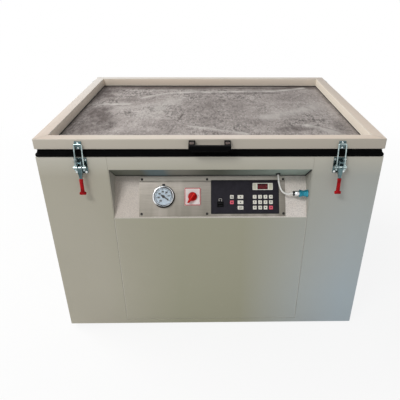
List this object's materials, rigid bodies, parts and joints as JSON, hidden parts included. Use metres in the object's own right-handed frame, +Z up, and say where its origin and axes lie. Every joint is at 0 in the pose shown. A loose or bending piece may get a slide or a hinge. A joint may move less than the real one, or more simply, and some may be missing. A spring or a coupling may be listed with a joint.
{
  "type": "screen printing exposure unit",
  "caption": "Bench-top screen exposure unit with glass table, vacuum blanket lid on rear hinges, pull latches, and a recessed control panel with gauge, switch, keypad and release valve.",
  "frame": {"origin": "on the floor, under the middle of the whole unit's box", "axes": "+X to the right seen from the front, +Y to the back, +Z up"},
  "size_m": [1.0424, 0.8234, 0.716],
  "materials": {
    "cabinet_paint": "powder coated, fine wrinkle",
    "recess_paint": "wrinkle paint",
    "lid_paint": "satin paint",
    "black_paint": "black paint",
    "gasket_rubber": "soft black sponge rubber",
    "blanket_rubber": "dusty rubber sheet",
    "foot_rubber": "hard rubber pad on a steel stem",
    "plate_steel": "brushed stainless steel",
    "galvanised": "galvanised sheet",
    "zinc_steel": "bright zinc plating",
    "chrome": "polished",
    "bezel_chrome": "polished ring",
    "dial_white": "printed dial",
    "black_plastic": "moulded",
    "switch_plate": "pale moulded plate",
    "red_plastic": "glossy moulded",
    "keypad_film": "printed film with raised keys",
    "display_red": "dark red window",
    "blue_anodised": "anodised",
    "aluminium": "bright sheet",
    "tube_white": "soft plastic tube",
    "hose_clear": "wire reinforced hose",
    "pump_paint": "cast housing, enamel",
    "gear_case": "enamel",
    "brass": "turned",
    "holder_ceramic": "unglazed",
    "table_glass": "clear float glass",
    "lens_glass": "clear window",
    "lamp_glass": "clear quartz"
  },
  "bodies": {
    "cabinet": {"base_tray": "galvanised", "left_side_panel": "cabinet_paint", "right_side_panel": "cabinet_paint", "back_panel": "cabinet_paint", "front_frame": "cabinet_paint", "recess_housing": "recess_paint", "access_panel": "cabinet_paint", "top_frame": "black_paint", "exposure_glass": "table_glass", "seal_gasket": "gasket_rubber", "levelling_feet": "foot_rubber", "control_plate": "plate_steel", "plate_screws": "chrome", "gauge_case": "bezel_chrome", "gauge_dial": "dial_white", "gauge_lens": "lens_glass", "rotary_switch_body": "switch_plate", "keypad_overlay": "keypad_film", "display_window": "display_red", "rocker_frame": "black_plastic", "valve_body": "aluminium", "vent_tube": "tube_white", "lamp_cradle": "galvanised", "lamp_reflector": "aluminium", "lamp_holders": "holder_ceramic", "lamp_tube": "lamp_glass", "control_gear": "gear_case", "vacuum_pump": "pump_paint", "vacuum_hose": "hose_clear", "vacuum_ports": "brass", "fan_frame": "black_plastic", "fan_guard": "chrome", "cable_gland": "black_plastic", "latch_bases": "zinc_steel", "latch_bolts": "zinc_steel", "hinge_cabinet_leaves": "zinc_steel", "strut_lower_brackets": "zinc_steel"},
    "lid": {"lid_frame": "lid_paint", "blanket": "blanket_rubber", "blanket_strips": "aluminium", "lid_handle": "black_plastic", "catch_plates": "zinc_steel", "catch_screws": "zinc_steel", "hinge_lid_leaves": "zinc_steel", "strut_upper_brackets": "zinc_steel"},
    "needle": {"gauge_needle": "black_plastic"},
    "knob": {"switch_knob": "red_plastic"},
    "rocker": {"rocker_paddle": "black_plastic"},
    "sleeve": {"valve_sleeve": "blue_anodised"},
    "rotor": {"fan_rotor": "black_plastic"},
    "left_lever": {"left_latch_lever": "zinc_steel", "left_latch_grip": "red_plastic"},
    "right_lever": {"right_latch_lever": "zinc_steel", "right_latch_grip": "red_plastic"},
    "left_bow": {"left_latch_bow": "zinc_steel"},
    "right_bow": {"right_latch_bow": "zinc_steel"},
    "left_strut_cylinder": {"left_strut_cylinder": "black_paint"},
    "right_strut_cylinder": {"right_strut_cylinder": "black_paint"},
    "left_strut_rod": {"left_strut_rod": "chrome"},
    "right_strut_rod": {"right_strut_rod": "chrome"}
  },
  "joints": [
    {"name": "lid_hinge", "type": "hinge", "parent": "cabinet", "child": "lid", "pos_m": [0, 0.40575, 0.684], "axis": [-1, 0, 0], "range_deg": [0, 60]},
    {"name": "left_strut_pivot", "type": "hinge", "parent": "cabinet", "child": "left_strut_cylinder", "pos_m": [-0.5122, 0.36175, 0.52], "axis": [-1, 0, 0], "range_deg": [0, 12.1]},
    {"name": "left_rod_slide", "type": "slide", "parent": "left_strut_cylinder", "child": "left_strut_rod", "axis": [0, -0.1748, 0.9846], "range_m": [0, 0.0625]},
    {"name": "left_lever_hinge", "type": "hinge", "parent": "cabinet", "child": "left_lever", "pos_m": [-0.374, -0.38825, 0.648], "axis": [-1, 0, 0], "range_deg": [0, 110]},
    {"name": "left_bow_swing", "type": "hinge", "parent": "left_lever", "child": "left_bow", "pos_m": [-0.374, -0.38925, 0.635], "axis": [-1, 0, 0], "range_deg": [-132, 0]},
    {"name": "right_strut_pivot", "type": "hinge", "parent": "cabinet", "child": "right_strut_cylinder", "pos_m": [0.5122, 0.36175, 0.52], "axis": [-1, 0, 0], "range_deg": [0, 12.1]},
    {"name": "right_rod_slide", "type": "slide", "parent": "right_strut_cylinder", "child": "right_strut_rod", "axis": [0, -0.1748, 0.9846], "range_m": [0, 0.0625]},
    {"name": "right_lever_hinge", "type": "hinge", "parent": "cabinet", "child": "right_lever", "pos_m": [0.374, -0.38825, 0.648], "axis": [-1, 0, 0], "range_deg": [0, 110]},
    {"name": "right_bow_swing", "type": "hinge", "parent": "right_lever", "child": "right_bow", "pos_m": [0.374, -0.38925, 0.635], "axis": [-1, 0, 0], "range_deg": [-132, 0]},
    {"name": "gauge_needle_turn", "type": "hinge", "parent": "cabinet", "child": "needle", "pos_m": [-0.147, -0.34083, 0.51331], "axis": [0, -0.8437, 0.5369], "range_deg": [0, 255], "stiffness_Nm_per_rad": 0.0001},
    {"name": "pump_switch_turn", "type": "hinge", "parent": "cabinet", "child": "knob", "pos_m": [-0.057, -0.34083, 0.51331], "axis": [0, -0.8437, 0.5369], "range_deg": [0, 60]},
    {"name": "rocker_tilt", "type": "hinge", "parent": "cabinet", "child": "rocker", "pos_m": [0.029, -0.35506, 0.49356], "axis": [1, 0, 0], "range_deg": [0, 20]},
    {"name": "vent_sleeve_slide", "type": "slide", "parent": "cabinet", "child": "sleeve", "axis": [-1, 0, 0], "range_m": [0, 0.005]},
    {"name": "fan_spin", "type": "hinge", "parent": "cabinet", "child": "rotor", "pos_m": [-0.3, 0.39575, 0.316], "axis": [0, 1, 0], "continuous": true}
  ],
  "couplings": [
    {"joint": "left_strut_pivot", "follows": "lid_hinge", "ratio": 0.2001},
    {"joint": "left_rod_slide", "follows": "lid_hinge", "m_per_rad": 0.059547},
    {"joint": "left_bow_swing", "follows": "left_lever_hinge", "ratio": -1.2},
    {"joint": "right_strut_pivot", "follows": "lid_hinge", "ratio": 0.2001},
    {"joint": "right_rod_slide", "follows": "lid_hinge", "m_per_rad": 0.059547},
    {"joint": "right_bow_swing", "follows": "right_lever_hinge", "ratio": -1.2}
  ]
}
